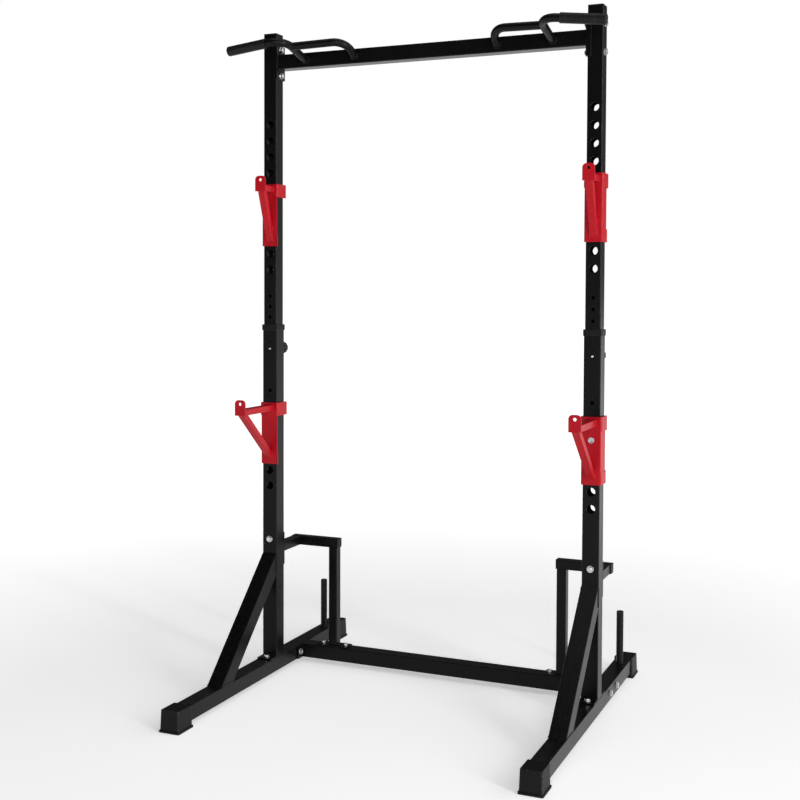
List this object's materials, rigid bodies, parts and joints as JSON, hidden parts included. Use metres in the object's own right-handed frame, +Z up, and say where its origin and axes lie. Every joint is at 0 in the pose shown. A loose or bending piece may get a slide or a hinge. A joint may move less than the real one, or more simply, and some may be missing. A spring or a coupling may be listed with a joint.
{
  "type": "adjustable squat rack",
  "caption": "Free-standing squat rack on two foot rails: telescopic uprights, crossbar with pull-up handles, red bar hooks and safety arms, rear stays and plate pegs.",
  "frame": {"origin": "on the floor, midway between the two foot rails and midway between the front and rear feet", "axes": "+X runs along the crossbar from the left upright to the right one, as seen from the front where the hooks are; +Y runs to the rear, where the cross tube is; +Z is up"},
  "size_m": [1.1812, 1.081, 2.0413],
  "materials": {
    "black_paint": "satin black powder coat",
    "red_paint": "semi-gloss red powder coat",
    "black_plastic": "fine moulded grain",
    "grip_rubber": "matt textured rubber sleeve",
    "zinc_plate": "bright zinc plate"
  },
  "bodies": {
    "base": {"left_foot_rail": "black_paint", "left_front_foot": "black_plastic", "left_rear_foot": "black_plastic", "left_lower_upright": "black_paint", "left_collar": "black_plastic", "left_front_brace": "black_paint", "left_stay_bracket": "black_paint", "left_stay_top_tube": "black_paint", "left_stay_post": "black_paint", "left_stay_outer_cap": "black_plastic", "left_stay_inner_cap": "black_plastic", "left_upright_bolt": "zinc_plate", "left_cross_tube_bolt_front": "zinc_plate", "left_cross_tube_bolt_rear": "zinc_plate", "left_weight_peg": "black_paint", "left_peg_cap": "black_plastic", "right_foot_rail": "black_paint", "right_front_foot": "black_plastic", "right_rear_foot": "black_plastic", "right_lower_upright": "black_paint", "right_collar": "black_plastic", "right_front_brace": "black_paint", "right_stay_bracket": "black_paint", "right_stay_top_tube": "black_paint", "right_stay_post": "black_paint", "right_stay_outer_cap": "black_plastic", "right_stay_inner_cap": "black_plastic", "right_upright_bolt": "zinc_plate", "right_cross_tube_bolt_front": "zinc_plate", "right_cross_tube_bolt_rear": "zinc_plate", "right_weight_peg": "black_paint", "right_peg_cap": "black_plastic", "rear_cross_tube": "black_paint"},
    "upper_frame": {"left_upper_upright": "black_paint", "left_upright_cap": "black_plastic", "left_pull_up_handle": "black_paint", "left_hand_grip": "grip_rubber", "left_crossbar_bolt_upper": "zinc_plate", "left_crossbar_bolt_lower": "zinc_plate", "right_upper_upright": "black_paint", "right_upright_cap": "black_plastic", "right_pull_up_handle": "black_paint", "right_hand_grip": "grip_rubber", "right_crossbar_bolt_upper": "zinc_plate", "right_crossbar_bolt_lower": "zinc_plate", "crossbar": "black_paint"},
    "left_height_lock": {"left_lock_pin": "zinc_plate", "left_lock_knob": "black_plastic"},
    "left_bar_hook": {"left_bar_hook": "red_paint", "left_bar_hook_pin": "zinc_plate"},
    "left_safety_arm": {"left_safety_arm": "red_paint", "left_safety_arm_pin": "zinc_plate"},
    "right_height_lock": {"right_lock_pin": "zinc_plate", "right_lock_knob": "black_plastic"},
    "right_bar_hook": {"right_bar_hook": "red_paint", "right_bar_hook_pin": "zinc_plate"},
    "right_safety_arm": {"right_safety_arm": "red_paint", "right_safety_arm_pin": "zinc_plate"}
  },
  "joints": [
    {"name": "height_slide", "type": "slide", "parent": "base", "child": "upper_frame", "axis": [0, 0, 1], "range_m": [0, 0.1332]},
    {"name": "left_lock_pull", "type": "slide", "parent": "base", "child": "left_height_lock", "axis": [0, 1, 0], "range_m": [0, 0.065]},
    {"name": "right_lock_pull", "type": "slide", "parent": "base", "child": "right_height_lock", "axis": [0, 1, 0], "range_m": [0, 0.065]},
    {"name": "left_bar_hook_pull", "type": "slide", "parent": "upper_frame", "child": "left_bar_hook", "axis": [0, -1, 0], "range_m": [0, 0.075]},
    {"name": "right_bar_hook_pull", "type": "slide", "parent": "upper_frame", "child": "right_bar_hook", "axis": [0, -1, 0], "range_m": [0, 0.075]},
    {"name": "left_safety_arm_pull", "type": "slide", "parent": "base", "child": "left_safety_arm", "axis": [0, -1, 0], "range_m": [0, 0.08]},
    {"name": "right_safety_arm_pull", "type": "slide", "parent": "base", "child": "right_safety_arm", "axis": [0, -1, 0], "range_m": [0, 0.08]}
  ]
}
